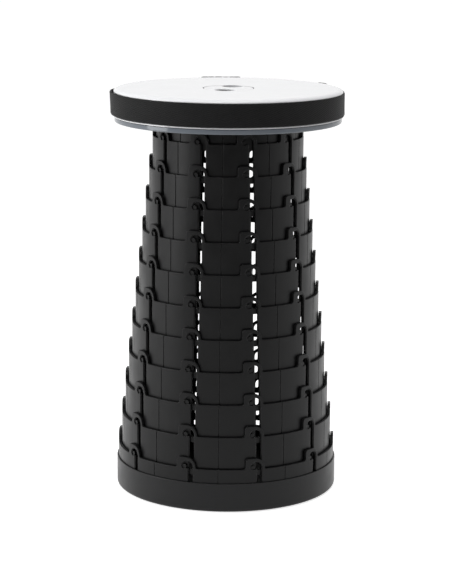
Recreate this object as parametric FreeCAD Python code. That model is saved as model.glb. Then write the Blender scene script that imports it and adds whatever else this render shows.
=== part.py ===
import FreeCAD, Part
import math
import os

# Collapsible telescopic stool, drawn standing open.
# Eleven slotted rings nest in each other. Pins near the foot of each ring hang in hooks along
# the top of the next larger ring. The origin is on the floor, on the stool's axis, with +Z up.
# The front is towards -Y, and an azimuth turns from the front towards +X. Sizes are millimetres.

V = FreeCAD.Vector
UP = V(0, 0, 1)

# Whole stool
seat_height = 450.0
ring_count = 11
slot_count = 10
slide_travel = 34.5
cutter_over = 1.0

# Rings
base_ring_radius = 122.3
base_ring_top = 48.0
ring_step = 3.85
ring_pitch = 35.0
ring_wall = 3.1
ring_overlap = 7.6
edge_round = 0.45
lower_hoop = 6.3

# Pins, slots and hooks, measured from the slot's middle and the ring's top edge
pin_diameter = 4.8
pin_clearance = 0.2
pin_offset = 7.3
pin_height = 1.6
pin_reach = 2.1
pin_tip_gap = 0.25
slot_recess = 0.85
recess_depth = 0.9
lock_lift = 1.8
travel_play = 0.4
hook_band = 4.2
hook_shift = 0.9
hook_side = 5.7
hook_corner = 3.4
hook_left_foot = 2.6
hook_right_foot = 1.7

# Mould seams on the outside of the rings
seam_angle = 14.5
seam_width = 1.0
seam_depth = 0.7

# Base tray and its pads
tray_wall = 1.7
tray_fit = 0.1
tray_height = 32.7
tray_floor = 2.5
tray_edge = 3.0
pad_count = 6
pad_height = 1.0
pad_width = 8.0
pad_length = 42.0
pad_radius = 111.5
pad_turn = -3.0

# Seat
seat_radius = 126.9
seat_plate = 3.5
seat_wall = 2.2
wall_below_strap = 1.6
lip_width = 6.0
lip_drop = 3.4
rim_radius = 126.0
rim_wall = 2.4
rim_height = 5.9
rim_tongue = 6.0
rim_tongue_wall = 1.1
rim_edge = 0.8
rim_fit = 0.1

# Centre of the seat
cap_radius = 27.6
cap_thickness = 2.4
cap_gap = 0.8
cap_edge = 0.3
cap_rib_height = 4.0
cap_rib_width = 3.0
cap_ledge = 4.3
collar_wall = 9.5
collar_depth = 6.5
finger_radius = 11.0
finger_reach = 20.5
finger_turn = -11.0
cup_depth = 16.0
cup_wall = 2.0
cup_lip = 4.0
cup_fit = 0.1

# Screws between the seat and the top ring
screw_count = 5
screw_circle = 66.0
post_diameter = 8.0
post_length = 10.0
flange_thickness = 3.0
flange_width = 17.0
screw_core = 2.5
screw_grip = 7.5
screw_head = 6.0
screw_head_height = 2.4
screw_hole = 3.4
thread_fit = 0.05

# Carrying strap and its plastic hardware
strap_width = 25.4
strap_thickness = 1.7
strap_gap = 0.2
buckle_turn = 184.4
buckle_height = 32.0
buckle_thickness = 5.6
buckle_length = 48.0
socket_length = 31.0
buckle_gap = 0.3
buckle_wall = 1.5
buckle_edge = 1.4
buckle_window_reach = 17.0
buckle_bar = 3.4
prong_depth = 3.2
prong_head = 8.0
prong_head_rise = 2.4
prong_inset = 1.2
tongue_width = 6.0
strap_mouth = 3.0
strap_play = 0.5
slider_turn = 126.0
slider_height = 30.6
slider_length = 20.0
slider_thickness = 3.0
slider_window = 5.0
slider_edge = 1.2

# Worked out from the sizes above
sector = 360.0 / slot_count
slot_width = pin_diameter + 2 * pin_clearance
half_slot = slot_width / 2
groove_depth = pin_reach + pin_tip_gap
dome_radius = (pin_offset + slot_width) / 2
dome_centre = (-pin_offset / 2, pin_height)
hook_top = pin_height + dome_radius + hook_band
ring_height = ring_pitch + ring_overlap
floor_top = pad_height + tray_floor
strap_top = seat_height - lip_drop
strap_foot = strap_top - strap_width
strap_middle = (strap_top + strap_foot) / 2
wall_foot = strap_foot - wall_below_strap
plate_foot = seat_height - seat_plate
strap_inside = seat_radius + strap_gap
strap_outside = strap_inside + strap_thickness


def ring_radius(number):
    """Outer radius of a ring: ring 1 is the smallest, and the top ring counts as ring 0."""
    return base_ring_radius - (ring_count - number) * ring_step


def ring_top(number):
    """Height of a ring's top edge between its hooks."""
    return base_ring_top + (ring_count - number) * ring_pitch


def line(start, end):
    """One straight edge in the front plane, between two points given as (across, up)."""
    return Part.LineSegment(V(start[0], 0, start[1]), V(end[0], 0, end[1])).toShape()


def arc(centre, radius, start, end):
    """One arc in the front plane, from one angle to another, in degrees from +X towards +Z."""
    def at(angle):
        turn = math.radians(angle)
        return V(centre[0] + radius * math.cos(turn), 0, centre[1] + radius * math.sin(turn))
    return Part.Arc(at(start), at((start + end) / 2), at(end)).toShape()


def polyline(points):
    """Straight edges through a row of points."""
    return [line(a, b) for a, b in zip(points, points[1:])]


def prism(edges, near, far, height):
    """A closed outline in the front plane, lifted to a height and pushed out from near to far."""
    face = Part.Face(Part.Wire(Part.__sortEdges__(edges)))
    face.translate(V(0, -near, height))
    return face.extrude(V(0, near - far, 0))


def lathe(edges, angle=360.0, start=0.0):
    """An outline of (radius, height) points turned about the stool's axis."""
    face = Part.Face(Part.Wire(Part.__sortEdges__(edges)))
    face.rotate(V(), UP, -90)
    solid = face.revolve(V(), UP, angle)
    solid.rotate(V(), UP, start)
    return solid


def tube(outer, inner, foot, top, angle=360.0, start=0.0):
    """A round wall, or a slice of one that starts at an azimuth."""
    corners = [(inner, foot), (outer, foot), (outer, top), (inner, top), (inner, foot)]
    return lathe(polyline(corners), angle, start)


def turned(shape, angle):
    """A copy of a shape turned to an azimuth."""
    copy = shape.copy()
    copy.rotate(V(), UP, angle)
    return copy


def around(shape, count, first=0.0):
    """Copies of a shape at equal azimuths."""
    return [turned(shape, first + 360.0 / count * number) for number in range(count)]


def box(x0, x1, y0, y1, z0, z1):
    """A block between two values on each axis."""
    return Part.makeBox(x1 - x0, y1 - y0, z1 - z0, V(x0, y0, z0))


def above_hook(half_width):
    """Outline of what is cut away above a ring's top edge and its hook."""
    wall_x = -pin_offset - half_slot - hook_side
    outer = dome_radius + hook_band
    centre = (dome_centre[0] - hook_shift, dome_centre[1])
    foot = hook_right_foot
    rise = foot - centre[1]
    foot_x = centre[0] + math.sqrt((outer + foot) ** 2 - rise ** 2)
    meet = math.degrees(math.atan2(rise, foot_x - centre[0]))
    over = hook_top + hook_band
    edges = [line((-half_width, 0), (wall_x - hook_left_foot, 0))]
    edges += [arc((wall_x - hook_left_foot, hook_left_foot), hook_left_foot, -90, 0)]
    edges += [line((wall_x, hook_left_foot), (wall_x, hook_top - hook_corner))]
    edges += [arc((wall_x + hook_corner, hook_top - hook_corner), hook_corner, 180, 90)]
    edges += [line((wall_x + hook_corner, hook_top), (centre[0], hook_top))]
    edges += [arc(centre, outer, 90, meet)]
    edges += [arc((foot_x, foot), foot, 180 + meet, 270)]
    edges += [line((foot_x, 0), (half_width, 0))]
    edges += polyline([(half_width, 0), (half_width, over), (-half_width, over), (-half_width, 0)])
    return edges


def hooked_slot(foot, wider=0.0):
    """Outline of a slot: straight, over the tongue at its top, and down into the pin's pocket."""
    half, drop = half_slot + wider, lock_lift + wider
    tongue = pin_height - drop
    reach = math.sqrt(half ** 2 - drop ** 2)
    pocket = (-pin_offset, pin_height)
    tongue_angle = -math.degrees(math.atan2(drop, reach))
    foot_centre = foot + half_slot
    edges = [arc((0, foot_centre), half, 180, 360)]
    edges += [line((half, foot_centre), (half, pin_height))]
    edges += [arc(dome_centre, dome_radius + wider, 0, 180)]
    edges += [arc(pocket, half, -180, tongue_angle)]
    edges += [line((reach - pin_offset, tongue), (-half, tongue))]
    edges += [line((-half, tongue), (-half, foot_centre))]
    return edges


def slot_step(radius, top, slot_foot):
    """The shallow step on a ring's outer face, along a slot and over its pocket, but not under it."""
    cut = prism(hooked_slot(slot_foot - top, slot_recess), 0, 2 * radius, top)
    floor = Part.makeCylinder(radius - recess_depth, 2 * ring_height, V(0, 0, slot_foot - ring_height / 2))
    left, right = -2 * pin_offset, -half_slot - slot_recess
    tongue_face = box(left, right, -2 * radius, 0, slot_foot, top + pin_height)
    return cut.cut([floor, tongue_face])


def relief(radius, top):
    """Room inside a ring's wall for the pin of the ring within, straight down from its pocket."""
    left, right = -pin_offset - half_slot, -pin_offset + half_slot
    low = pin_height - slide_travel - travel_play
    edges = polyline([(left, low), (left, pin_height), (right, pin_height), (right, low)])
    edges += [arc((-pin_offset, low), half_slot, 180, 360)]
    inside = radius - ring_wall
    cut = prism(edges, inside - ring_wall, radius, top)
    depth_limit = Part.makeCylinder(inside + groove_depth, 2 * ring_height, V(0, 0, top - ring_height))
    return cut.common(depth_limit)


def pin(radius, top):
    """The pin of a ring, which reaches into the wall of the ring outside it."""
    root = radius - (ring_wall - groove_depth) / 2
    tip = radius + ring_step - ring_wall + pin_reach
    height = top - ring_pitch + pin_height
    start = V(-pin_offset, pin_offset - radius, height)
    solid = Part.makeCylinder(pin_diameter / 2, 2 * pin_offset, start, V(0, -1, 0))
    solid = solid.common(Part.makeCylinder(tip, 2 * pin_diameter, V(0, 0, height - pin_diameter)))
    return solid.cut(Part.makeCylinder(root, 2 * pin_diameter, V(0, 0, height - pin_diameter)))


def seam(radius, foot, top):
    """The groove that a mould seam leaves up the outside of a ring."""
    return box(-seam_width / 2, seam_width / 2, -radius - seam_depth, seam_depth - radius, foot, top)


def outer_top_edges(shape, radius, top):
    """Edges of the outer face along the top of a slice of ring, hook included."""
    found = []
    for edge in shape.Edges:
        points = edge.discretize(5)
        outside = all(abs(math.hypot(p.x, p.y) - radius) < 1e-3 for p in points)
        upright = abs(points[0].x - points[-1].x) + abs(points[0].y - points[-1].y) < 1e-6
        at_side = upright and abs(points[0].x) > pin_offset + half_slot + hook_side + cutter_over
        if outside and not at_side and min(p.z for p in points) > top - 1e-6:
            found.append(edge)
    return found


def slotted_ring(number, foot, slot_foot):
    """A ring with a slot, a hook and a pin in each sector. It is made as one slice and repeated."""
    radius, top = ring_radius(number), ring_top(number)
    piece = tube(radius, radius - ring_wall, foot, top + hook_top, sector, seam_angle - sector)
    piece = piece.cut(prism(above_hook(radius), 0, 2 * radius, top))
    piece = piece.makeFillet(edge_round, outer_top_edges(piece, radius, top))
    piece = piece.cut(prism(hooked_slot(slot_foot - top), 0, 2 * radius, top))
    piece = piece.cut(slot_step(radius, top, slot_foot))
    piece = piece.cut(relief(radius, top))
    if number < ring_count:
        piece = piece.fuse(pin(radius, top))
    groove = seam(radius, foot - cutter_over, top + hook_top)
    piece = piece.cut([turned(groove, seam_angle), turned(groove, seam_angle - sector)])
    pieces = around(piece, slot_count, sector / 2)
    return pieces[0].multiFuse(pieces[1:]).removeSplitter()


def moving_ring(number):
    """A ring that slides in the next larger one."""
    foot = ring_top(number) - ring_height
    return slotted_ring(number, foot, foot + lower_hoop)


def fixed_ring():
    """The largest ring, which stands in the base tray. Its slots run down to the tray's floor."""
    return slotted_ring(ring_count, floor_top, floor_top + lower_hoop)


def base_tray():
    """The floor and the low band that hold the largest ring."""
    inside = base_ring_radius + tray_fit
    outside = inside + tray_wall
    foot, edge = pad_height, tray_edge
    edges = polyline([(0, foot), (outside - edge, foot)])
    edges += [arc((outside - edge, foot + edge), edge, -90, 0)]
    edges += polyline(
        [
            (outside, foot + edge),
            (outside, tray_height - tray_wall / 4),
            (outside - tray_wall / 4, tray_height),
            (inside, tray_height),
            (inside, floor_top),
            (0, floor_top),
            (0, foot),
        ]
    )
    return lathe(edges)


def base_pads():
    """Curved rubber pads under the tray."""
    angle = math.degrees(pad_length / pad_radius)
    half = pad_width / 2
    pad = tube(pad_radius + half, pad_radius - half, 0, pad_height, angle, pad_turn - angle / 2)
    return Part.makeCompound(around(pad, pad_count))


def top_ring():
    """The plain ring under the seat, with the pins that hang in the smallest slotted ring."""
    radius, top = ring_radius(0), ring_top(0)
    inside = radius - ring_wall
    foot = top - ring_height
    solid = tube(radius, inside, foot, plate_foot)
    flange_top = plate_foot - post_length
    flange_foot = flange_top - flange_thickness
    solid = solid.fuse(tube(inside + ring_wall / 2, inside - flange_width, flange_foot, flange_top))
    solid = solid.fuse(around(pin(radius, top), slot_count, sector / 2))
    groove = seam(radius, foot - cutter_over, plate_foot + cutter_over)
    solid = solid.cut(around(groove, slot_count, sector / 2 + seam_angle))
    hole_foot = V(0, -screw_circle, flange_top - 2 * flange_thickness)
    hole = Part.makeCylinder(screw_hole / 2, 3 * flange_thickness, hole_foot)
    return solid.cut(around(hole, screw_count)).removeSplitter()


def finger_holes(foot, top):
    """Round cutters for the two finger holes, one behind the seat's middle and one before it."""
    hole = Part.makeCylinder(finger_radius, top - foot, V(0, -finger_reach, foot))
    return around(hole, 2, finger_turn)


def seat_top():
    """The seat: a plate with a rounded lip, a wall for the strap, a collar and screw posts."""
    opening = cap_radius + cap_gap
    ledge = opening - cap_ledge
    collar = opening + collar_wall
    collar_foot = plate_foot - collar_depth
    inside = seat_radius - seat_wall
    lip_start = seat_radius - lip_width
    lip = Part.BSplineCurve()
    lip.buildFromPolesMultsKnots(
        [V(lip_start, 0, seat_height), V(seat_radius, 0, seat_height), V(seat_radius, 0, strap_top)],
        [3, 3], [0.0, 1.0], False, 2, [1.0, math.sqrt(0.5), 1.0],
    )
    edges = [line((opening, seat_height), (lip_start, seat_height)), lip.toShape()]
    edges += polyline(
        [
            (seat_radius, strap_top),
            (seat_radius, wall_foot),
            (inside, wall_foot),
            (inside, plate_foot),
            (collar, plate_foot),
            (collar, collar_foot),
            (ledge, collar_foot),
            (ledge, seat_height - cap_thickness),
            (opening, seat_height - cap_thickness),
            (opening, seat_height),
        ]
    )
    solid = lathe(edges).cut(finger_holes(collar_foot - cutter_over, seat_height + cutter_over))
    post_foot = plate_foot - post_length
    post = Part.makeCylinder(post_diameter / 2, post_length + cutter_over, V(0, -screw_circle, post_foot))
    pilot_length = screw_grip + cutter_over
    pilot = Part.makeCylinder(screw_core / 2 + thread_fit, pilot_length, V(0, -screw_circle, post_foot))
    solid = solid.fuse(around(post, screw_count)).cut(around(pilot, screw_count))
    return solid.removeSplitter()


def seat_rim():
    """The grey ring that closes the seat's wall from below."""
    inside = rim_radius - rim_wall
    tongue = seat_radius - seat_wall - rim_fit
    foot = wall_foot - rim_height
    solid = lathe(
        polyline(
            [
                (inside, foot),
                (rim_radius - rim_edge, foot),
                (rim_radius, foot + rim_edge),
                (rim_radius, wall_foot),
                (tongue, wall_foot),
                (tongue, wall_foot + rim_tongue),
                (tongue - rim_tongue_wall, wall_foot + rim_tongue),
                (tongue - rim_tongue_wall, wall_foot),
                (inside, wall_foot),
                (inside, foot),
            ]
        )
    )
    return solid


def finger_cap():
    """The round cap in the seat's middle, with its finger holes and a rib to pull on."""
    foot = seat_height - cap_thickness
    disc = lathe(
        polyline(
            [
                (0, foot),
                (cap_radius, foot),
                (cap_radius, seat_height - cap_edge),
                (cap_radius - cap_edge, seat_height),
                (0, seat_height),
                (0, foot),
            ]
        )
    )
    half_length = cap_radius - cap_ledge
    half_width = cap_rib_width / 2
    rib = box(-half_length, half_length, -half_width, half_width, foot - cap_rib_height, foot)
    solid = disc.fuse(turned(rib, finger_turn))
    cutter_foot = foot - cap_rib_height - cutter_over
    return solid.cut(finger_holes(cutter_foot, seat_height + cutter_over)).removeSplitter()


def finger_cup():
    """The closed cup under the finger holes, pushed onto the seat's collar."""
    collar = cap_radius + cap_gap + collar_wall + cup_fit
    top = plate_foot - collar_depth
    foot = top - cup_depth
    outside = collar + cup_wall
    inside = collar - cup_wall
    return lathe(
        polyline(
            [
                (0, foot),
                (collar, foot),
                (collar, top - cup_wall),
                (outside, top - cup_wall),
                (outside, top + cup_lip),
                (collar, top + cup_lip),
                (collar, top),
                (inside, top),
                (inside, foot + cup_wall),
                (0, foot + cup_wall),
                (0, foot),
            ]
        )
    )


def seat_screws():
    """Pan-head screws that go up through the top ring's flange into the seat's posts."""
    head_top = plate_foot - post_length - flange_thickness
    head_foot = V(0, -screw_circle, head_top - screw_head_height)
    head = Part.makeCylinder(screw_head / 2, screw_head_height, head_foot)
    crown = head.makeFillet(screw_head_height / 3, [head.Edges[2]])
    shank = Part.makeCylinder(screw_core / 2, flange_thickness + screw_grip, V(0, -screw_circle, head_top))
    return Part.makeCompound(around(crown.fuse(shank).removeSplitter(), screw_count))


def carry_strap():
    """The webbing round the seat's wall, open where the buckle joins its ends."""
    band = tube(strap_outside, strap_inside, strap_foot, strap_top)
    half = buckle_length / 2 + strap_mouth
    foot, top = strap_foot - cutter_over, strap_top + cutter_over
    gap = box(-half, half, -strap_outside - cutter_over, 0, foot, top)
    return band.cut(turned(gap, buckle_turn))


def buckle_block(left, right, top, foot, thin=0.0):
    """A block of the buckle drawn at the front, thinner than the buckle by thin on each face."""
    near = seat_radius + buckle_gap + thin
    far = seat_radius + buckle_gap + buckle_thickness - thin
    return box(left, right, -far, -near, foot, top)


def strap_slot(left):
    """Cutter for a slot in the buckle that the webbing goes through."""
    half = strap_width / 2 + strap_play
    return buckle_block(left, left + strap_mouth, strap_middle + half, strap_middle - half, -cutter_over)


def buckle_socket():
    """The half of the buckle that takes the plug: hollow, open at one end and at top and foot."""
    left = -buckle_length / 2
    right = left + socket_length
    half = buckle_height / 2
    solid = buckle_block(left, right, strap_middle + half, strap_middle - half)
    long_edges = [e for e in solid.Edges if abs(e.Vertexes[0].X - e.Vertexes[-1].X) > 1]
    solid = solid.makeFillet(buckle_edge, long_edges)
    inner = half - buckle_edge - buckle_wall / 2
    back = left + 2 * buckle_bar + strap_mouth
    room = buckle_block(back, right + cutter_over, strap_middle + inner, strap_middle - inner, buckle_wall)
    window = buckle_block(
        right - buckle_window_reach,
        right - buckle_window_reach + prong_head + 2 * buckle_gap,
        strap_middle + half + cutter_over,
        strap_middle - half - cutter_over,
        buckle_wall,
    )
    return turned(solid.cut([room, window, strap_slot(left + buckle_bar)]), buckle_turn)


def buckle_plug():
    """The half of the buckle with two springy prongs, whose heads show in the socket's windows."""
    right = buckle_length / 2
    socket_end = socket_length - right
    half = buckle_height / 2
    inner = half - buckle_edge - buckle_wall / 2 - buckle_gap
    prong_start = socket_end - buckle_window_reach + buckle_gap
    foot, top = strap_middle - half + prong_inset, strap_middle + half - prong_inset
    head = buckle_block(socket_end + buckle_gap, right, top, foot, buckle_gap)
    solid = head.cut(strap_slot(right - buckle_bar - strap_mouth))
    thin = buckle_wall + buckle_gap
    stem_end = socket_end + cutter_over
    half_tongue = tongue_width / 2
    pieces = [buckle_block(prong_start, stem_end, *heights(half_tongue, -half_tongue), thin)]
    for side in (1, -1):
        outer = side * (inner - prong_head_rise / 2)
        tip = side * (inner + prong_head_rise / 2)
        root = outer - side * prong_depth
        pieces.append(buckle_block(prong_start, stem_end, *heights(outer, root), thin))
        pieces.append(buckle_block(prong_start, prong_start + prong_head, *heights(tip, root), thin))
    return turned(solid.fuse(pieces).removeSplitter(), buckle_turn)


def heights(one, other):
    """The upper and the lower of two heights given from the strap's middle."""
    return strap_middle + max(one, other), strap_middle + min(one, other)


def strap_slider():
    """The three-bar slider that sets the strap's length."""
    half = slider_length / 2
    near = strap_outside + strap_gap
    far = near + slider_thickness
    foot, top = strap_middle - slider_height / 2, strap_middle + slider_height / 2
    plate = box(-half, half, -far, -near, foot, top)
    corner_edges = [e for e in plate.Edges if abs(e.Vertexes[0].Y - e.Vertexes[-1].Y) > 1]
    plate = plate.makeFillet(slider_edge, corner_edges)
    bar = (slider_length - 2 * slider_window) / 3
    tall = strap_width / 2 + strap_play
    low, high = strap_middle - tall, strap_middle + tall
    windows = [
        box(x, x + slider_window, -far - cutter_over, cutter_over - near, low, high)
        for x in (bar - half, 2 * bar + slider_window - half)
    ]
    return turned(plate.cut(windows), slider_turn)


def write(name, shape):
    """One STEP file per piece, with a line on what it holds."""
    if shape.ShapeType == "Compound" and len(shape.Solids) == 1:
        shape = shape.Solids[0]
    shape.exportStep(os.path.join("parts", name + ".step"))
    bounds = shape.BoundBox
    print(
        f"{name}: {len(shape.Solids)} solids, valid {shape.isValid()}, volume {shape.Volume:.0f},"
        f" z {bounds.ZMin:.2f} to {bounds.ZMax:.2f}, faces {len(shape.Faces)}"
    )


os.makedirs("parts", exist_ok=True)
write("base_tray", base_tray())
write("base_pads", base_pads())
write(f"ring_{ring_count:02d}", fixed_ring())
for ring_number in range(ring_count - 1, 0, -1):
    write(f"ring_{ring_number:02d}", moving_ring(ring_number))
write("top_ring", top_ring())
write("seat_top", seat_top())
write("seat_rim", seat_rim())
write("finger_cap", finger_cap())
write("finger_cup", finger_cup())
write("seat_screws", seat_screws())
write("carry_strap", carry_strap())
write("buckle_socket", buckle_socket())
write("buckle_plug", buckle_plug())
write("strap_slider", strap_slider())
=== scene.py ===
# %% [markdown]
# A telescopic stool is a tower of slotted rings under a round seat. The rings, the seat, the base and
# the buckle arrive as a finished mechanical model, which stays where it is. This lesson gives every
# one of those pieces its finish, weaves the carrying strap around the seat, and lights the whole
# as in a plain white studio. Lengths are in metres, and numbers in millimetres are multiplied by MM.

# %% Load the mechanical model
import bmesh
import bpy
import math
import numpy as np
from mathutils import Matrix, Vector


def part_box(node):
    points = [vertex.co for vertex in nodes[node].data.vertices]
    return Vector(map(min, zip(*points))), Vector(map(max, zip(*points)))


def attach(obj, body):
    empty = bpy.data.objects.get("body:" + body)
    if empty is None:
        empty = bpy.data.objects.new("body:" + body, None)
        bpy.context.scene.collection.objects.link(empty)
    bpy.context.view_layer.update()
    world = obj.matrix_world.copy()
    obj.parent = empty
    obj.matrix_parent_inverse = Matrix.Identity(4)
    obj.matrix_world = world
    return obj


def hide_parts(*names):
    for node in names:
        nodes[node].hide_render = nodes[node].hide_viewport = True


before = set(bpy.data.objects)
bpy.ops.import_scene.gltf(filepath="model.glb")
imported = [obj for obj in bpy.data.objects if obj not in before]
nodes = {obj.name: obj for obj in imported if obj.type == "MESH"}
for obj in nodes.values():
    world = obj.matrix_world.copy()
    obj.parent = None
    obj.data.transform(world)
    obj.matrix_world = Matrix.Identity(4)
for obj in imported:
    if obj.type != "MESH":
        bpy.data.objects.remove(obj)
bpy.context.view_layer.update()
MM = 0.001

# %% [markdown]
# The photographer stood a little over two metres away with a long lens and looked down on the seat by
# about eleven degrees. A camera can be aimed with a tracking constraint, which hides its numbers.
# Here its three axes are worked out and set as a matrix, so that a small roll is one turn about
# the view line.

# %% Camera
scene = bpy.context.scene
photo_width = 452
camera_place = Vector((0.0184, -2.2017, 0.6782))
camera_pitch = math.radians(11.249)
camera_yaw = math.radians(0.513)
camera_roll = math.radians(0.3855)
focal_pixels = 1996.36
centre_above_middle = 17.7


def camera_axes(pitch, yaw, roll):
    """Turn that looks along +Y, pitched down, swung towards -X by yaw, then rolled about the view."""
    level = Matrix.Rotation(math.pi / 2, 3, "X")
    look = Matrix.Rotation(yaw, 3, "Z") @ Matrix.Rotation(-pitch, 3, "X") @ level
    return look @ Matrix.Rotation(roll, 3, "Z")


camera_data = bpy.data.cameras.new("photo_camera")
camera_data.sensor_fit = "HORIZONTAL"
camera_data.sensor_width = 36.0
camera_data.lens = focal_pixels * camera_data.sensor_width / photo_width
camera_data.shift_y = -centre_above_middle / photo_width
camera_data.clip_start = 0.05
camera = bpy.data.objects.new("photo_camera", camera_data)
camera.matrix_world = Matrix.Translation(camera_place) @ camera_axes(
    camera_pitch, camera_yaw, camera_roll
).to_4x4()
scene.collection.objects.link(camera)
scene.camera = camera
print(f"lens {camera_data.lens:.1f} mm, camera {camera_place.length:.2f} m from the origin")

# %% [markdown]
# New pieces are surfaces on a grid of two parameters. One helper turns a grid of points into a mesh,
# whole arrays at a time. The grid can close on itself in either direction, which leaves no seam.

# %% Grid helper


def grid_faces(rows, columns, wrap_rows, wrap_columns):
    """Quads of a grid of points: each joins a point, its neighbour along, and the two in the next row."""
    i = np.arange(rows if wrap_rows else rows - 1)[:, None]
    j = np.arange(columns if wrap_columns else columns - 1)[None, :]
    next_i, next_j = (i + 1) % rows, (j + 1) % columns
    corners = [i * columns + j, next_i * columns + j, next_i * columns + next_j, i * columns + next_j]
    return np.stack([np.broadcast_to(c, (i.size, j.size)) for c in corners], -1).reshape(-1, 4)


def add_mesh(name, points, faces):
    """A smooth mesh object from an array of points and an array of quads."""
    mesh = bpy.data.meshes.new(name)
    mesh.vertices.add(len(points))
    mesh.vertices.foreach_set("co", np.asarray(points, np.float32).ravel())
    mesh.loops.add(faces.size)
    mesh.loops.foreach_set("vertex_index", faces.astype(np.int32).ravel())
    mesh.polygons.add(len(faces))
    mesh.polygons.foreach_set("loop_start", np.arange(0, faces.size, 4, dtype=np.int32))
    mesh.update(calc_edges=True)
    mesh.polygons.foreach_set("use_smooth", np.full(len(faces), True))
    mesh.validate()
    piece = bpy.data.objects.new(name, mesh)
    scene.collection.objects.link(piece)
    return piece


def add_uv(piece, along, across):
    """A UV map in metres from one pair of values per point."""
    mesh = piece.data
    index = np.zeros(len(mesh.loops), np.int32)
    mesh.loops.foreach_get("vertex_index", index)
    layer = mesh.uv_layers.new(name="cloth")
    pair = np.stack([np.ravel(along)[index], np.ravel(across)[index]], 1)
    layer.data.foreach_set("uv", pair.astype(np.float32).ravel())


# %% [markdown]
# Every finish here is a Principled shader with small node trees in front of it. These helpers keep
# the trees short: one adds a node and feeds it, and the others add noise, a stretch of values, a
# colour between two colours, a sum or product, a bump, and a measure of how open a place is.

# %% Material helpers


def new_finish(name, **values):
    """A material, its node tree and its Principled shader, with the given sockets set."""
    material = bpy.data.materials.new(name)
    material.use_nodes = True
    shader = material.node_tree.nodes["Principled BSDF"]
    for key, value in values.items():
        shader.inputs[key.replace("_", " ")].default_value = value
    return material, material.node_tree, shader


def add_node(tree, kind, inputs=None, **properties):
    """A node of a kind with its properties set, its inputs fed by values or by other nodes' sockets."""
    node = tree.nodes.new(kind)
    for key, value in properties.items():
        setattr(node, key, value)
    for key, source in (inputs or {}).items():
        if isinstance(source, bpy.types.NodeSocket):
            tree.links.new(source, node.inputs[key])
        else:
            node.inputs[key].default_value = source
    return node


def feed(tree, shader, **sources):
    """Joins sources to the shader's sockets."""
    for key, source in sources.items():
        tree.links.new(source, shader.inputs[key.replace("_", " ")])


def piece_place(tree):
    """The place on the piece, in metres and in the piece's own axes."""
    return add_node(tree, "ShaderNodeTexCoord").outputs["Object"]


def noise(tree, place, scale, detail=2.0):
    """Noise over a place socket. Its scale is in ripples per metre."""
    inputs = {"Vector": place, "Scale": scale, "Detail": detail}
    return add_node(tree, "ShaderNodeTexNoise", inputs).outputs["Fac"]


def spread(tree, value, low, high, from_low=0.3, from_high=0.7):
    """A value between two ends, stretched to run from low to high."""
    inputs = {"Value": value, "From Min": from_low, "From Max": from_high, "To Min": low, "To Max": high}
    return add_node(tree, "ShaderNodeMapRange", inputs).outputs["Result"]


def tint(tree, factor, one, other):
    """A colour between two colours, each of them a triple of numbers or another node's colour."""
    ends = [(*end, 1.0) if isinstance(end, tuple) else end for end in (one, other)]
    inputs = {"Factor": factor, "A": ends[0], "B": ends[1]}
    return add_node(tree, "ShaderNodeMix", inputs, data_type="RGBA").outputs["Result"]


def combine(tree, operation, one, other=0.0):
    """Two values, or a value and a number, joined by a sum, a product or the like."""
    return add_node(tree, "ShaderNodeMath", {0: one, 1: other}, operation=operation).outputs[0]


def dot(tree, one, other):
    """The dot product of two directions or places."""
    inputs = {0: one, 1: other}
    return add_node(tree, "ShaderNodeVectorMath", inputs, operation="DOT_PRODUCT").outputs["Value"]


def bump(tree, height, distance, normal=None):
    """A bump whose height of one is a distance in metres, on top of another normal if that is given."""
    inputs = {"Height": height, "Strength": 1.0, "Distance": distance}
    if normal is not None:
        inputs["Normal"] = normal
    return add_node(tree, "ShaderNodeBump", inputs).outputs["Normal"]


def openness(tree, distance, shut, clear):
    """One where a surface lies open and zero in a narrow gap.

    Ambient occlusion looks as far as the distance. Its levels shut and clear become zero and one.
    """
    look = add_node(tree, "ShaderNodeAmbientOcclusion", {"Distance": distance}, samples=8)
    return spread(tree, look.outputs["AO"], 0.0, 1.0, shut, clear)


def give(material, *names):
    """Puts one material on CAD pieces, in every slot that they have."""
    for name in names:
        mesh = nodes[name].data
        if not mesh.materials:
            mesh.materials.append(material)
        for number in range(len(mesh.materials)):
            mesh.materials[number] = material


# %% [markdown]
# The rings and the base are moulded in charcoal plastic with a fine spark-eroded texture. Seen close,
# such plastic has a grain of about half a millimetre, slow changes in its sheen, and edges that are
# never quite sharp. Its narrow gaps get painted shade: ambient occlusion darkens their colour and
# gloss to near black. A Bevel node gives the soft edges without touching the mesh. Where its normal
# leaves the flat one there is an edge, and edges are made glossier and painted a little paler, partly
# as wear from hands and partly as a painted highlight.

# %% Moulded plastic
# Painted shade for narrow gaps: a near black that ambient occlusion lays into their colour.
painted_gap_shade = (0.001, 0.001, 0.001)
mould_grain = 0.02 * MM


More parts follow.
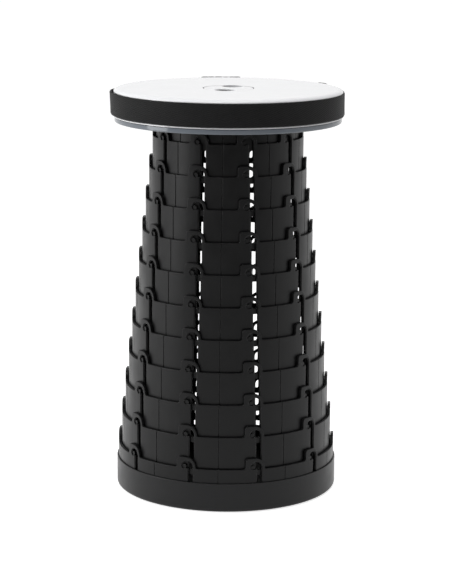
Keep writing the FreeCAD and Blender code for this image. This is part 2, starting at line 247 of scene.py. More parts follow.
def moulded_plastic(name, dark, pale, roughness, specular, edge=0.35 * MM, rub_and_highlight=0.5):
    """Satin plastic: grain bump, sheen changes, rounded edges painted paler as wear and highlight, painted
    shade in gaps.
    """
    material, tree, shader = new_finish(name, Specular_IOR_Level=specular)
    place = piece_place(tree)
    rounded = add_node(tree, "ShaderNodeBevel", {"Radius": edge}, samples=4).outputs["Normal"]
    flat = add_node(tree, "ShaderNodeNewGeometry").outputs["Normal"]
    at_edge = spread(tree, dot(tree, rounded, flat), rub_and_highlight, 0.0, from_low=0.80, from_high=0.995)
    patches = noise(tree, place, scale=45.0, detail=3.0)
    # Edges are painted paler, partly as wear and partly as a painted highlight.
    paleness = combine(tree, "ADD", at_edge, spread(tree, patches, 0.0, 0.25))
    # Painted shade: ambient occlusion darkens the colour and the gloss in narrow gaps.
    clear = openness(tree, distance=1.5 * MM, shut=0.35, clear=0.75)
    cloudy_sheen = spread(tree, patches, roughness - 0.05, roughness + 0.05)
    polish = spread(tree, at_edge, 0.0, 0.16, from_low=0.0, from_high=rub_and_highlight)
    worn_gloss = spread(tree, at_edge, specular, 3.0 * specular, from_low=0.0, from_high=rub_and_highlight)
    feed(
        tree,
        shader,
        Base_Color=tint(tree, clear, painted_gap_shade, tint(tree, paleness, dark, pale)),
        Specular_IOR_Level=combine(tree, "MULTIPLY", worn_gloss, clear),
        Roughness=combine(tree, "SUBTRACT", cloudy_sheen, polish),
        Normal=bump(tree, noise(tree, place, scale=2300.0), mould_grain, rounded),
    )
    return material


ring_plastic = moulded_plastic(
    "ring_plastic",
    dark=(0.0036, 0.0036, 0.0038),
    pale=(0.015, 0.015, 0.0155),
    roughness=0.38,
    specular=0.2,
    edge=0.5 * MM,
)
base_plastic = moulded_plastic(
    "base_plastic",
    dark=(0.0070, 0.0070, 0.0074),
    pale=(0.020, 0.020, 0.021),
    roughness=0.40,
    specular=0.22,
    edge=0.5 * MM,
)
cup_plastic = moulded_plastic(
    "cup_plastic", dark=(0.05, 0.05, 0.055), pale=(0.09, 0.09, 0.095), roughness=0.5, specular=0.4
)
buckle_plastic = moulded_plastic(
    "buckle_plastic", dark=(0.006, 0.006, 0.0063), pale=(0.018, 0.018, 0.019), roughness=0.48, specular=0.18
)
ring_names = sorted(name for name in nodes if name.startswith("ring_"))
give(ring_plastic, *ring_names, "top_ring")
give(base_plastic, "base_tray")
give(cup_plastic, "finger_cup")
give(buckle_plastic, "buckle_socket", "buckle_plug", "strap_slider")
print(f"moulded plastic on {len(ring_names)} slotted rings, the top ring, the base and the buckle")

# %% [markdown]
# The seat is polished white plastic. A polished face shows its age as hair scratches and as faint
# waviness from the mould, both far smaller than a millimetre. The groove round its cap and other
# narrow gaps get painted shade, darkened by ambient occlusion. The rim under the strap is the same
# kind of plastic in a blue grey.

# %% Polished plastic
# Painted shade for the groove round the cap and other narrow gaps.
painted_groove_shade = (0.02, 0.018, 0.017)
hair_scale = (90.0, 2600.0, 2600.0)
hair_turn = (0.0, 0.0, 0.6)


def polished_plastic(name, colour, other, roughness, wave):
    """Glossy plastic: a wavy mould surface, fine scratches, a drift of colour, and painted shade in narrow
    gaps.
    """
    material, tree, shader = new_finish(name, Specular_IOR_Level=0.5, IOR=1.5)
    place = piece_place(tree)
    drift = noise(tree, place, scale=14.0)
    stretched = add_node(
        tree, "ShaderNodeMapping", {"Vector": place, "Scale": hair_scale, "Rotation": hair_turn}
    ).outputs["Vector"]
    hairs = noise(tree, stretched, scale=1.0, detail=3.0)
    scratch = spread(tree, hairs, 0.0, 0.10, from_low=0.62, from_high=0.75)
    # Painted shade: ambient occlusion darkens the colour in narrow gaps.
    clear = openness(tree, distance=3.0 * MM, shut=0.45, clear=0.85)
    clean = tint(tree, spread(tree, drift, 0.0, 1.0), colour, other)
    feed(
        tree,
        shader,
        Base_Color=tint(tree, clear, painted_groove_shade, clean),
        Roughness=combine(tree, "ADD", spread(tree, drift, roughness, roughness + 0.05), scratch),
        Normal=bump(tree, noise(tree, place, scale=60.0, detail=1.0), wave),
    )
    return material


seat_plastic = polished_plastic(
    "seat_plastic", (0.86, 0.86, 0.875), (0.84, 0.845, 0.865), roughness=0.16, wave=0.01 * MM
)
cap_plastic = polished_plastic(
    "cap_plastic", (0.85, 0.85, 0.865), (0.83, 0.835, 0.855), roughness=0.20, wave=0.01 * MM
)
rim_plastic = polished_plastic(
    "rim_plastic", (0.165, 0.185, 0.21), (0.14, 0.16, 0.185), roughness=0.07, wave=0.02 * MM
)
give(seat_plastic, "seat_top")
give(cap_plastic, "finger_cap")
give(rim_plastic, "seat_rim")
print("polished plastic on the seat, its cap and its rim")

# %% [markdown]
# Two finishes stay mostly out of sight. The pads are plain black rubber with a powdery bloom, and the
# screws are zinc-plated steel with turning marks round their heads.

# %% Rubber and steel


def pad_rubber():
    """Rubber: very rough, with a pale bloom in patches and a pebbled surface."""
    material, tree, shader = new_finish("pad_rubber", Specular_IOR_Level=0.3)
    place = piece_place(tree)
    powder = noise(tree, place, scale=160.0, detail=4.0)
    bloom = spread(tree, powder, 0.0, 1.0, from_low=0.45, from_high=0.8)
    feed(
        tree,
        shader,
        Base_Color=tint(tree, bloom, (0.012, 0.012, 0.012), (0.035, 0.035, 0.036)),
        Roughness=spread(tree, bloom, 0.75, 0.9, from_low=0.0, from_high=1.0),
        Normal=bump(tree, noise(tree, place, scale=1200.0), 0.03 * MM),
    )
    return material


def screw_steel():
    """Plated steel: metal with fine turning marks in its colour and roughness."""
    material, tree, shader = new_finish("screw_steel", Metallic=1.0)
    marks = noise(tree, piece_place(tree), scale=3000.0, detail=1.0)
    feed(
        tree,
        shader,
        Base_Color=tint(tree, marks, (0.56, 0.56, 0.57), (0.62, 0.61, 0.58)),
        Roughness=spread(tree, marks, 0.22, 0.42),
    )
    return material


give(pad_rubber(), "base_pads")
give(screw_steel(), "seat_screws")
print("rubber on the pads and steel on the screws")

# %% [markdown]
# The strap and its fittings sit on the seat's round wall, so their places are measured from the wall
# and the strap of the mechanical model. A fitting has axes of its own: along the wall, out from the
# stool's axis, and up. One helper turns them into the stool's axes.

# %% Places on the seat's wall
seat_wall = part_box("seat_top")[1][0]
strap_low, strap_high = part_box("carry_strap")
strap_middle = (strap_low[2] + strap_high[2]) / 2
half_strap = (strap_high[2] - strap_low[2]) / 2
buckle_turn, buckle_depth = math.radians(184.4), 130.0 * MM
slider_turn, slider_depth = math.radians(126.0), 131.3 * MM
slider_bar_depth = 130.6 * MM
print(f"strap {2000 * half_strap:.1f} mm wide on a wall of {1000 * seat_wall:.1f} mm radius")


def on_wall(turn, along, out, height):
    """World points from a fitting's own axes: along the wall, out from the stool's axis, and up."""
    across = np.array([math.cos(turn), math.sin(turn), 0.0])
    outward = np.array([math.sin(turn), -math.cos(turn), 0.0])
    up = np.array([0.0, 0.0, 1.0])
    along, out, height = np.broadcast_arrays(along, out, height)
    return along[..., None] * across + out[..., None] * outward + (strap_middle + height)[..., None] * up


# %% [markdown]
# The strap's fittings are moulded in black acetal: a slider with three bars, and the socket and plug of a
# side-release buckle. Such parts are soft boxes and frames with no sharp edge anywhere. They could be
# carved from blocks with modifiers. Here each is a section carried along a line, with
# sizes that change on the way, which gives the rounding and the snug fit at once.

# %% Soft boxes and frames
dish_height, dish_length = 7 * MM, 6 * MM
frame_ends, frame_sides, bar_oval = 0.3, 0.2, 0.7


def soft_angle(count):
    """Angles of a full turn, as a row."""
    return np.linspace(0, 2 * math.pi, count, endpoint=False)[None, :]


def soft_power(value, power):
    """A sine or cosine raised to a power with its sign kept, which squares a circle up."""
    return np.sign(value) * np.abs(value) ** power


def soft_box(turn, depth, stations, offset=0.0, count=56, square=0.42, dish=0.0):
    """A tube along the wall: at each station its section is a squared ellipse of the given half sizes.

    Stations are rows of (along, half depth, half height) in millimetres. The outer face sinks by the
    dish, falling off as a bell curve from the tube's middle.
    """
    along, half_depth, half_height = (MM * np.array(stations, float)).T[:, :, None]
    angle = soft_angle(count)
    out = half_depth * soft_power(np.cos(angle), square)
    up = half_height * soft_power(np.sin(angle), square)
    bell = np.exp(-((up / dish_height) ** 2) - ((along - along.mean()) / dish_length) ** 2)
    out = out - dish * bell * (out > 0)
    return on_wall(turn, along + 0 * angle, depth + out, up + offset), False


def soft_frame(turn, depth, left, right, half_height, bar, rail, thick, rows=112, count=20):
    """A frame: an oval section carried round a squared ellipse, wide on its bars, narrow on its rails."""
    angle = np.linspace(0, 2 * math.pi, rows, endpoint=False)
    centre, reach = (left + right) / 2, (right - left) / 2 - bar / 2
    along = centre + reach * soft_power(np.cos(angle), frame_ends)
    up = (half_height - rail / 2) * soft_power(np.sin(angle), frame_sides)
    run = np.stack([np.roll(along, -1) - np.roll(along, 1), np.roll(up, -1) - np.roll(up, 1)])
    run /= np.linalg.norm(run, axis=0)
    width = rail + (bar - rail) * run[1] ** 2
    turn_round = soft_angle(count)
    side = (width / 2)[:, None] * soft_power(np.cos(turn_round), bar_oval)
    out = thick / 2 * soft_power(np.sin(turn_round), bar_oval)
    points = on_wall(
        turn,
        MM * (along[:, None] + run[1][:, None] * side),
        depth + MM * out,
        MM * (up[:, None] - run[0][:, None] * side),
    )
    return points, True


def add_shells(name, *shells):
    """One piece from grids that are closed round their sections. Open ends are filled, faces turned out."""
    points, faces, start = [], [], 0
    for grid, closed in shells:
        rows, columns = grid.shape[:2]
        points.append(grid.reshape(-1, 3))
        faces.append(start + grid_faces(rows, columns, closed, True))
        start += rows * columns
    piece = add_mesh(name, np.concatenate(points), np.concatenate(faces))
    solid = bmesh.new()
    solid.from_mesh(piece.data)
    bmesh.ops.holes_fill(solid, edges=[edge for edge in solid.edges if edge.is_boundary], sides=0)
    bmesh.ops.recalc_face_normals(solid, faces=solid.faces)
    solid.to_mesh(piece.data)
    solid.free()
    return piece


def fit(piece, material, slot, *replaced):
    """Gives a new piece on the seat its material and its body and hides the nodes it stands for; the slot is
    not used.
    """
    piece.data.materials.append(material)
    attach(piece, "seat")
    if replaced:
        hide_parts(*replaced)
    print(f"{piece.name}: {len(piece.data.polygons)} faces")


# %% [markdown]
# The buckle's socket is a flat shell that swells at its two ends and is pinched in the middle, where the
# plug's prongs show. Its mouth turns back inwards, which gives it a wall. The plug carries a tongue
# and two ribbed prongs, and both halves end in a frame that holds the webbing. All stations are
# rows of (along, half depth, half height) in millimetres.

# %% Buckle and slider
socket_outside = [
    (-17.9, 1.0, 13.6), (-17.6, 1.6, 14.9), (-16.8, 2.1, 15.6), (-14.5, 2.6, 15.9), (-12.0, 2.8, 15.95),
    (-10.3, 2.8, 15.95), (-10.0, 2.8, 15.8), (-9.9, 2.8, 12.0), (-6.0, 2.8, 11.7), (-1.6, 2.8, 12.0),
    (-1.5, 2.8, 15.8), (-1.2, 2.8, 15.95), (2.0, 2.8, 16.0), (5.8, 2.8, 16.0), (6.8, 2.6, 15.9),
]
socket_inside = [(7.0, 2.3, 15.4), (6.8, 2.0, 14.9), (4.0, 1.9, 14.0), (-4.0, 1.9, 11.2), (-9.0, 1.9, 11.0)]
plug_outside = [
    (7.3, 2.1, 15.0), (7.5, 2.5, 15.6), (8.2, 2.75, 15.9), (10.0, 2.8, 16.0), (13.0, 2.7, 15.95),
    (15.5, 2.4, 15.8), (17.0, 1.9, 15.3), (17.6, 1.2, 14.4),
]
prong_head = [
    (-9.4, 1.0, 1.0), (-9.1, 1.6, 1.8), (-8.2, 1.8, 2.1), (-7.4, 1.8, 1.95), (-6.6, 1.8, 2.15),
    (-5.8, 1.8, 1.95), (-5.0, 1.8, 2.15), (-4.2, 1.8, 1.95), (-3.2, 1.8, 2.1), (-2.3, 1.6, 1.7),
    (-2.0, 1.1, 1.0),
]
prong_arm = [(-8.0, 1.4, 1.0), (0.0, 1.5, 1.1), (8.0, 1.6, 1.2)]
tongue = [(-9.0, 1.0, 2.4), (0.0, 1.5, 3.0), (8.0, 1.6, 3.0)]
slider_bar = [(-1.5, 0.3, 13.6), (-1.3, 0.8, 13.9), (0.0, 1.0, 14.0), (1.3, 0.8, 13.9), (1.5, 0.3, 13.6)]
head_height, arm_height = 13.8 * MM, 11.0 * MM
thumb_dish = 0.5 * MM
near_end, far_end, slider_end = 12.6, 24.0, 10.0
thin_count = 28
buckle_frame = dict(half_height=16.0, bar=3.4, rail=2.3, thick=3.0)
slider_sizes = dict(half_height=15.0, bar=3.3, rail=2.1, thick=2.4)
buckle_place, slider_place = (buckle_turn, buckle_depth), (slider_turn, slider_depth)

socket_shell = add_shells(
    "socket_shell",
    soft_box(*buckle_place, socket_outside + socket_inside, dish=thumb_dish),
    soft_frame(*buckle_place, -far_end, -near_end, **buckle_frame),
)
fit(socket_shell, buckle_plastic, "buckle_plastic", "buckle_socket")
prongs = [
    soft_box(*buckle_place, stations, side * height, thin_count)
    for side in (1, -1)
    for stations, height in ((prong_head, head_height), (prong_arm, arm_height))
]
plug_and_prongs = add_shells(
    "plug_and_prongs",
    soft_box(*buckle_place, plug_outside),
    soft_frame(*buckle_place, near_end, far_end, **buckle_frame),
    soft_box(*buckle_place, tongue, count=thin_count),
    *prongs,
)
fit(plug_and_prongs, buckle_plastic, "buckle_plastic", "buckle_plug")
slider_frame = add_shells(
    "slider_frame",
    soft_frame(*slider_place, -slider_end, slider_end, **slider_sizes),
    soft_box(slider_turn, slider_bar_depth, slider_bar),
)
fit(slider_frame, buckle_plastic, "buckle_plastic", "strap_slider")

# %% [markdown]
# The strap is one length of 25 mm webbing. It starts as a loop on the slider's middle bar, runs against
# the seat to the socket, turns round the socket's bar and comes back on top of itself, weaves
# through the slider, goes all the way round the front to the plug, and ends folded back over
# itself and sewn. It could be a flat mesh bent by a curve modifier. Here its route is a
# smooth line seen from above, and the webbing's section is carried along it, so that
# each layer lies on the next.

# %% Route of the strap
ply = 1.4
wall_gap = 0.2
ply_gap = 0.05
inner_ply = 1000 * seat_wall + wall_gap + ply / 2
outer_ply = inner_ply + ply + ply_gap
fold_back = 30.0


def beside(turn, points):
    """Points given beside a fitting, along and out in millimetres, seen from above in metres."""
    along, out = np.array(points, float).T * MM
    return on_wall(turn, along, out, np.zeros_like(along))[:, :2]


def round_wall(start, end, radius, step=2.5):
    """Points on a circle round the stool from one azimuth to another, in degrees."""
    azimuth = np.radians(np.linspace(start, end, int(abs(end - start) / step) + 2))
    return radius * MM * np.stack([np.sin(azimuth), -np.cos(azimuth)], 1)


def rounded_line(points, each=24):
    """A smooth line that starts and ends at a row of points and rounds its corners.

    Between the middles of two neighbouring runs it is the parabola that has the shared point as its
    control: (1-t)(1-t) times one middle, plus 2t(1-t) times the point, plus tt times the other.
    """
    middles = (points[:-1] + points[1:]) / 2
    t = np.linspace(0, 1, each, endpoint=False)[None, :, None]
    first, control, last = middles[:-1, None], points[1:-1, None], middles[1:, None]
    curve = (1 - t) ** 2 * first + 2 * t * (1 - t) * control + t**2 * last
    return np.concatenate([points[:1], curve.reshape(-1, 2), middles[-1:], points[-1:]])


bar_out = 1000 * slider_bar_depth
loop_on_slider = [
    (3.6, bar_out + 0.9), (2.4, bar_out + 1.9), (0.0, bar_out + 1.9), (-2.3, bar_out + 1.9),
    (-2.6, bar_out), (-2.1, bar_out - 1.9), (0.5, bar_out - 2.2), (3.0, bar_out - 2.7),
]
round_socket = [
    (-24.0, 125.5), (-21.5, 126.0), (-19.3, 126.6), (-18.8, 129.2), (-19.2, 132.2), (-22.3, 132.6),
    (-25.2, 131.9), (-27.6, 128.8), (-30.6, 126.2),
]
through_slider = [
    (9.0, 128.9), (6.6, 129.0), (4.6, 131.4), (2.6, 134.0), (0.0, 134.1), (-2.6, 134.0), (-4.6, 131.4),
    (-6.6, 128.8), (-10.0, 127.9),
]
round_plug = [(-x, y) for x, y in round_socket]
buckle_azimuth, slider_azimuth = math.degrees(buckle_turn), math.degrees(slider_turn)
inner_end, outer_end = 13.0, 15.5
loop_end, slider_entry, slider_exit = 3.0, 5.5, 7.0
fold_start = buckle_azimuth + outer_end
route = np.concatenate(
    [
        beside(slider_turn, loop_on_slider),
        round_wall(slider_azimuth + loop_end, buckle_azimuth - inner_end, inner_ply),
        beside(buckle_turn, round_socket),
        round_wall(buckle_azimuth - outer_end, slider_azimuth + slider_entry, outer_ply),
        beside(slider_turn, through_slider),
        round_wall(slider_azimuth - slider_exit, buckle_azimuth - 360.0 + inner_end, inner_ply),
        beside(buckle_turn, round_plug),
        round_wall(fold_start, fold_start + math.degrees(fold_back / outer_ply), outer_ply),
    ]
)
line_of_strap = rounded_line(route)
steps = np.linalg.norm(np.diff(line_of_strap, axis=0), axis=1)
line_length = np.concatenate([[0.0], np.cumsum(steps)])
print(f"strap {line_length[-1]:.3f} m long")

# %% [markdown]
# Webbing is a flat woven band, a little thicker at its two edges. Its section, flat with rounded
# edges, is carried along the route. On the stool's left the strap hangs loose and stands off the
# wall, most at its upper edge. Against the wall its points can be far apart, and round the bars
# they are close together.

# %% Webbing
fine_step, coarse_step = 0.45 * MM, 2.2 * MM
still_band = 0.12 * MM
loose_azimuth, loose_spread = math.radians(-84.0), math.radians(13.0)
bulge, lean, lift = 1.8 * MM, 1.0 * MM, 0.8 * MM
sway_height, sway_waves, sway_twist = 0.10 * MM, 7, 2.2
face_points = 19
edge_share = 0.045
middle_thickness = 0.93
thinnest = 0.02 * MM


def even_steps(line, length):
    """Distances along the line: close together where it bends round a bar, further apart on the wall."""
    radius = np.linalg.norm(line, axis=1)
    still = np.abs(radius - MM * inner_ply) < still_band
    step = np.where(still, coarse_step, fine_step)
    count = np.concatenate([[0.0], np.cumsum(np.diff(length) / step[1:])])
    return np.interp(np.arange(int(count[-1]) + 1), count, length)


def webbing(name, line, length):
    """The webbing along the line, with the distance along it and the height of each of its points.

    The section runs up one face and down the other. Half its thickness is the height of a circle over
    the narrow woven edge, times a share that grows with the sixth power of the height. Where the strap
    is loose, it stands off the wall by a bell curve of azimuth, and two sines make it sway.
    """
    at = even_steps(line, length)
    place = np.stack([np.interp(at, length, line[:, axis]) for axis in (0, 1)], 1)
    run = np.gradient(place, axis=0)
    run /= np.linalg.norm(run, axis=1, keepdims=True)
    side = np.stack([run[:, 1], -run[:, 0]], 1)
    around = np.concatenate([np.linspace(-1, 1, face_points), np.linspace(1, -1, face_points)])[None, :]
    face = np.concatenate([np.ones(face_points), -np.ones(face_points)])[None, :]
    up = half_strap * around
    edge = np.clip((1 - np.abs(around)) / edge_share, 0, 1)
    fullness = middle_thickness + (1 - middle_thickness) * np.abs(around) ** 6
    thick = MM * ply / 2 * np.sqrt(1 - (1 - edge) ** 2) * fullness
    off = face * np.maximum(thick, thinnest)
    azimuth = np.arctan2(place[:, 0], -place[:, 1])[:, None]
    sway = sway_height * np.sin(sway_waves * azimuth) * np.sin(sway_twist * around + 1.0) + sway_height
    loose = np.exp(-(((azimuth - loose_azimuth) / loose_spread) ** 2))
    outward = place / np.linalg.norm(place, axis=1, keepdims=True)
    shift = sway + loose * (bulge + lean * ((1 + around) / 2) ** 2)
    flat = place[:, None, :] + off[..., None] * side[:, None, :] + shift[..., None] * outward[:, None, :]
    height = (strap_middle + up + lift * loose)[..., None]
    return add_shells(name, (np.concatenate([flat, height], 2), False)), at, up


webbing_strap, strap_at, strap_up = webbing("webbing_strap", line_of_strap, line_length)
strap_grid = (len(strap_at), strap_up.shape[1])
add_uv(webbing_strap, np.broadcast_to(strap_at[:, None], strap_grid), np.broadcast_to(strap_up, strap_grid))

# %% [markdown]
# The webbing is a twill: its yarns run along the strap, and each passes over a few cross threads before
# it dives, one step later than its neighbour, so the surface shows slanting ribs about two
# millimetres apart. Sines of the strap's own length and height draw ribs and yarns, and the
# pattern follows the strap round every bar, because both come from its UV map.

# %% Woven finish


def ripple(tree, place, along, across):
    """The sine of a sum: so many turns per metre along the strap and so many across it."""
    turns = dot(tree, place, (2 * math.pi * along, 2 * math.pi * across, 0.0))
    return combine(tree, "SINE", turns)


def woven(name, dark, pale, rib_pitch=2.1 * MM, yarn_pitch=0.85 * MM, slant=math.radians(20.0)):
    """Webbing: slanting ribs, rounded yarns and stray fibres in one height, with a soft sheen."""
    material, tree, shader = new_finish(name, Specular_IOR_Level=0.2, Sheen_Weight=0.2, Sheen_Roughness=0.25)
    place = add_node(tree, "ShaderNodeUVMap", uv_map="cloth").outputs["UV"]
    ribs = ripple(tree, place, math.sin(slant) / rib_pitch, math.cos(slant) / rib_pitch)
    yarns = combine(tree, "ABSOLUTE", ripple(tree, place, 0.0, 0.5 / yarn_pitch))
    fibres = noise(tree, place, scale=2600.0, detail=3.0)
    high_ribs = combine(tree, "MULTIPLY", ribs, 0.4)
    weave = combine(tree, "ADD", high_ribs, combine(tree, "MULTIPLY", yarns, 0.15))
    height = combine(tree, "ADD", weave, combine(tree, "MULTIPLY", fibres, 0.25))
    raised = spread(tree, height, 0.0, 0.8, from_low=-0.2, from_high=0.8)
    worn = spread(tree, noise(tree, place, scale=60.0, detail=4.0), 0.0, 0.3)
    feed(
        tree,
        shader,
        Base_Color=tint(tree, combine(tree, "ADD", raised, worn), dark, pale),
        Roughness=spread(tree, fibres, 0.62, 0.82),
        Normal=bump(tree, height, 0.3 * MM),
    )
    return material


strap_webbing = woven("strap_webbing", (0.0007, 0.0007, 0.0007), (0.009, 0.009, 0.0093))
fit(webbing_strap, strap_webbing, "strap_webbing", "carry_strap")

# %% [markdown]
# The rim and the cap catch the light on their edges, which a moulded part always has a little rounded.
# Each corner of the rim's section becomes an arc that touches both sides, and the section is
# turned round the axis. The rim also has a thin tongue that stands up inside the seat's wall.

# %% Rim
rim_low, rim_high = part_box("seat_rim")
rim_radius, rim_foot, rim_top = rim_high[0] / MM, rim_low[2] / MM, rim_high[2] / MM
rim_wall = 2.4
tongue_radius, tongue_wall, tongue_height = 124.6, 1.1, 6.0
rim_inside, tongue_inside = rim_radius - rim_wall, tongue_radius - tongue_wall
rim_shelf = rim_top - tongue_height
round_lower, round_upper = 1.2, 1.1
round_inner, round_tip, round_slight = 0.4, 0.3, 0.1


def rounded_section(corners, steps=7):
    """Points (r, z) in mm round a closed outline (r, z, rounding).

    A corner with rounding g and an opening angle t becomes an arc whose centre is g / sin(t/2) from it
    on the bisector.
    """
    outline = []
    spots = np.array(corners, float)
    for before, here, after in zip(np.roll(spots, 1, 0), spots, np.roll(spots, -1, 0)):
        back = (before[:2] - here[:2]) / np.linalg.norm(before[:2] - here[:2])
        ahead = (after[:2] - here[:2]) / np.linalg.norm(after[:2] - here[:2])
        half = math.acos(np.clip(back @ ahead, -1, 1)) / 2
        middle = (back + ahead) / np.linalg.norm(back + ahead)
        centre = here[:2] + middle * here[2] / math.sin(half)
        start = here[:2] + back * here[2] / math.tan(half) - centre
        end = here[:2] + ahead * here[2] / math.tan(half) - centre
        share = np.linspace(0, 1, steps)[:, None]
        chord = start * (1 - share) + end * share
        outline.append(centre + chord / np.linalg.norm(chord, axis=1, keepdims=True) * here[2])
    return np.concatenate(outline) * MM


def turned_grid(section, count=256, centre=(0.0, 0.0)):
    """The section (r, z) at count angles a round an upright axis: x = r cos a, y = r sin a."""
    angle = np.linspace(0, 2 * math.pi, count, endpoint=False)
    r, z = section[:, :1], section[:, 1:]
    return np.stack([centre[0] + r * np.cos(angle), centre[1] + r * np.sin(angle), z + 0 * angle], -1)


rim_section = rounded_section(
    [
        (rim_inside, rim_foot, round_inner),
        (rim_radius, rim_foot, round_lower),
        (rim_radius, rim_shelf, round_upper),
        (tongue_radius, rim_shelf, round_slight),
        (tongue_radius, rim_top, round_tip),
        (tongue_inside, rim_top, round_tip),
        (tongue_inside, rim_shelf, round_slight),
        (rim_inside, rim_shelf, round_slight),
    ]
)
rim_ring = add_shells("rim_ring", (turned_grid(rim_section, 384), True))
fit(rim_ring, rim_plastic, "rim_plastic", "seat_rim")

# %% [markdown]
# The cap is a thin disc with two finger holes and a stiff rib between them. The disc is turned like the
# rim. The holes are cut from it with flared cutters, so that their edges are rounded and no finger is
# pinched, and the rib is joined on. Weighted normals then keep the large faces flat.

# %% Cap
cap_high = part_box("finger_cap")[1]
cap_radius, cap_foot, cap_top = cap_high[0] / MM, 447.6, cap_high[2] / MM
cap_edge, mouth_flare = 0.5, 0.8
core_radius = 1.0
hole_radius, hole_reach, hole_count = 11.0, 20.5, 160
finger_turn = math.radians(-11.0)
cutter_below, cutter_above = 6.0, 1.0
rib_below = 1.75
rib_stations = [(-23.6, 1.0, 1.9), (-23.0, 1.5, 2.25), (23.0, 1.5, 2.25), (23.6, 1.0, 1.9)]


def arc(centre_r, centre_z, radius, start, end, steps=7):
    """Points (r, z) of a circle's arc between two angles in degrees."""
    angle = np.radians(np.linspace(start, end, steps))
    return np.stack([centre_r + radius * np.cos(angle), centre_z + radius * np.sin(angle)], -1)


def combine_solids(piece, other, operation):
    """Cuts the other solid from the piece or joins it on, then removes the other one."""
    change = piece.modifiers.new("change", "BOOLEAN")
    change.operation = operation
    change.solver = "EXACT"
    change.object = other
    result = bpy.data.meshes.new_from_object(piece.evaluated_get(bpy.context.evaluated_depsgraph_get()))
    piece.modifiers.clear()
    piece.data = result
    bpy.data.objects.remove(other)


def finger_hole(side):
    """A flared cutter on one side of the cap's middle, upright, in line with the two finger holes."""
    across = np.array([math.sin(finger_turn), -math.cos(finger_turn)])
    wide = hole_radius + mouth_flare
    mouth = arc(wide, cap_top - mouth_flare, mouth_flare, 180, 95)
    foot, top = (hole_radius, cap_foot - cutter_below), (wide, cap_top + cutter_above)
    section = np.concatenate([[foot], mouth, [top]]) * MM
    return add_shells("hole", (turned_grid(section, hole_count, side * hole_reach * MM * across), False))


def finger_rib():
    """The rib under the cap: a square section along a line, drawn in at both ends."""
    along = np.array([math.cos(finger_turn), math.sin(finger_turn), 0.0])
    sideways = np.array([-math.sin(finger_turn), math.cos(finger_turn), 0.0])
    up = np.array([0.0, 0.0, 1.0])
    x, half_width, half_height = np.array(rib_stations).T[:, :, None, None]
    corner = np.radians(45 + 90 * np.arange(4))[None, :, None]
    aside = math.sqrt(2) * half_width * np.cos(corner)
    height = cap_foot - rib_below + math.sqrt(2) * half_height * np.sin(corner)
    return add_shells("rib", ((along * x + aside * sideways + height * up) * MM, False))


def finger_cap_plate(name):
    """A disc less two flared holes, with a rib under it between them."""
    side = arc(cap_radius - cap_edge, cap_top - cap_edge, cap_edge, 0, 90)
    underside, top = [(core_radius, cap_foot), (cap_radius, cap_foot)], [(core_radius, cap_top)]
    plate = add_shells(name, (turned_grid(np.concatenate([underside, side, top]) * MM), False))
    for side_sign in (1, -1):
        combine_solids(plate, finger_hole(side_sign), "DIFFERENCE")
    combine_solids(plate, finger_rib(), "UNION")
    weighted = plate.modifiers.new("flats", "WEIGHTED_NORMAL")
    weighted.weight = 100
    return plate


fit(finger_cap_plate("finger_plate"), cap_plastic, "cap_plastic", "finger_cap")

# %% [markdown]
# The folded end is held by a sewn box with a cross in it. A stitch is a thread that comes up, lies over
# the webbing for two millimetres and dives again. Drawn lines would vanish at the strap's edge,
# so each stitch is a small bead of thread, highest in its middle and sunk at its ends.

# %% Stitches
stitch_pitch, stitch_length, thread = 3.0, 2.3, 0.30
box_start, box_length, box_half_height = 3.0, 22.0, 10.2
thread_rings, thread_sides = 9, 8
thread_rise, thread_sink, fold_rise = 0.12, 0.35, 0.1
fold_face = outer_ply + ply / 2 + fold_rise
open_end = 1.001


def stitch_line(start, end):
    """Middles and directions of the stitches from one point of the webbing to another, in millimetres."""
    start, end = np.array(start), np.array(end)
    reach = np.linalg.norm(end - start)
    count = round(reach / stitch_pitch)
    share = (np.arange(count)[:, None] + 0.5) / count
    return start + share * (end - start), np.repeat([(end - start) / reach], count, 0)


def stitch(middle, direction, first_azimuth, radius):
    """One thread: a round section along a short run, its height falling with the square of the distance.

    The section is widest in the middle and closes towards both ends, which stay just open.
    """
    share = np.linspace(-1, 1, thread_rings)[:, None]
    angle = soft_angle(thread_sides)
    size = thread * np.sqrt(open_end - share**4)
    aside = size * np.cos(angle)
    along = middle[0] + direction[0] * share * stitch_length / 2 - direction[1] * aside
    up = middle[1] + direction[1] * share * stitch_length / 2 + direction[0] * aside
    out = MM * (radius + thread_rise - thread_sink * share**2 + size * np.sin(angle))
    azimuth = first_azimuth + along / radius
    grid = np.stack([out * np.sin(azimuth), -out * np.cos(azimuth), strap_middle + MM * up + 0 * out], -1)
    return grid, False


box_end = box_start + box_length
low_left, low_right = (box_start, -box_half_height), (box_end, -box_half_height)
top_left, top_right = (box_start, box_half_height), (box_end, box_half_height)
lines = [
    (low_left, low_right), (low_right, top_right), (top_right, top_left), (top_left, low_left),
    (low_left, top_right), (top_left, low_right),
]
threads = [
    stitch(middle, direction, math.radians(fold_start), fold_face)
    for start, end in lines
    for middle, direction in zip(*stitch_line(start, end))
]
thread_finish = woven("strap_thread", (0.010, 0.010, 0.010), (0.030, 0.030, 0.031), 0.5 * MM, 0.3 * MM)
strap_stitches = add_shells("strap_stitches", *threads)
thread_points = thread_rings * thread_sides
number = np.arange(len(threads) * thread_points)
step_along, step_round = 0.3, 0.1
add_uv(
    strap_stitches,
    number % thread_points / thread_sides * step_along * MM,
    number % thread_sides * step_round * MM,
)
fit(strap_stitches, thread_finish, "strap_webbing")
print(f"{len(threads)} stitches")

# %% [markdown]
# A studio lights this stool: a large soft lamp above, a tall soft lamp on its left, which makes the bright
# edge of the rings, a weaker one on its right, and a narrow one high in front, which picks out the
# seams and hooks. Walls and floor are white behind the stool and fade into a dark room in front
# of it, where the photographer stands, so the plastic that faces front stays dark and the rest
# gets a bright outline. The eye itself sees plain white everywhere: a glow that only it and
# reflections see lifts the floor, so the stool's shadow stays.

# %% Floor and light
floor_white = 0.75


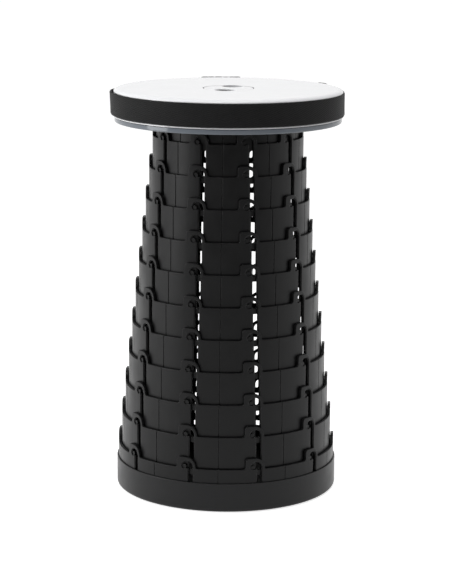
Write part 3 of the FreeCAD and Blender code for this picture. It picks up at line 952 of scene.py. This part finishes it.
def floor_sheet(half_size, count=7):
    """A flat square: an even grid of points at the floor's height."""
    x, y = np.meshgrid(np.linspace(-half_size, half_size, count), np.linspace(-half_size, half_size, count))
    points = np.stack([x, y, 0 * x], -1).reshape(-1, 3)
    return add_mesh("floor", points, grid_faces(count, count, False, False)[:, ::-1])


def front_to_back(tree, place, front_y, back_y, front, back):
    """A level that rises smoothly from the front of the room to its back, along Y."""
    y = add_node(tree, "ShaderNodeSeparateXYZ", {0: place}).outputs["Y"]
    level = spread(tree, y, front, back, front_y, back_y)
    level.node.interpolation_type = "SMOOTHSTEP"
    return level


def white_where_seen(tree, lit, seen, mirrored):
    """A glow: one level for camera rays, another for glossy and transmission rays, a third for the rest."""
    ray = add_node(tree, "ShaderNodeLightPath").outputs
    glossy = combine(tree, "MAXIMUM", ray["Is Glossy Ray"], ray["Is Transmission Ray"])
    unseen = add_node(tree, "ShaderNodeMix", {"Factor": glossy, "A": lit, "B": mirrored}).outputs["Result"]
    level = add_node(tree, "ShaderNodeMix", {"Factor": ray["Is Camera Ray"], "A": unseen, "B": seen})
    return level.outputs["Result"]


floor = floor_sheet(12.0)
floor_material, floor_tree, floor_shader = new_finish(
    "studio_floor",
    Roughness=0.9,
    Specular_IOR_Level=0.1,
    Base_Color=(0.80, 0.80, 0.80, 1.0),
    Emission_Color=(1.0, 1.0, 1.0, 1.0),
)
floor_mirrored = front_to_back(
    floor_tree, piece_place(floor_tree), front_y=-1.3, back_y=-0.2, front=0.0, back=floor_white
)
floor_glow = white_where_seen(floor_tree, 0.0, floor_white, floor_mirrored)
feed(floor_tree, floor_shader, Emission_Strength=floor_glow)
floor.data.materials.append(floor_material)

world = bpy.data.worlds.new("studio")
scene.world = world
world.use_nodes = True
world_tree = world.node_tree
background = world_tree.nodes["Background"]
background.inputs["Color"].default_value = (1.0, 1.0, 1.0, 1.0)
sky_direction = add_node(world_tree, "ShaderNodeTexCoord").outputs["Generated"]
world_lit = front_to_back(world_tree, sky_direction, front_y=-1.0, back_y=0.3, front=0.10, back=0.42)
world_mirrored = front_to_back(world_tree, sky_direction, front_y=-0.8, back_y=0.1, front=0.10, back=1.0)
feed(world_tree, background, Strength=white_where_seen(world_tree, world_lit, 1.0, world_mirrored))


def soft_lamp(name, place, aim, size, watts):
    """A rectangular soft lamp at a place, turned to face a point."""
    data = bpy.data.lights.new(name, "AREA")
    data.shape = "RECTANGLE"
    data.size, data.size_y = size
    data.energy = watts
    lamp = bpy.data.objects.new(name, data)
    lamp.location = place
    lamp.rotation_euler = (Vector(aim) - Vector(place)).to_track_quat("-Z", "Y").to_euler()
    scene.collection.objects.link(lamp)


soft_lamp("lamp_above", (0.1, 0.1, 2.2), aim=(0.0, 0.0, 0.3), size=(1.8, 1.8), watts=12.5)
soft_lamp("lamp_left", (-1.6, -0.5, 0.8), aim=(0.0, 0.0, 0.25), size=(0.8, 1.6), watts=16.0)
soft_lamp("lamp_front", (-0.2, -1.7, 2.1), aim=(0.0, 0.0, 0.3), size=(1.0, 0.4), watts=13.0)
soft_lamp("lamp_right", (1.8, -0.7, 0.9), aim=(0.0, 0.0, 0.25), size=(0.8, 1.4), watts=2.5)
scene.view_settings.view_transform = "Standard"
print("floor, world and four lamps")
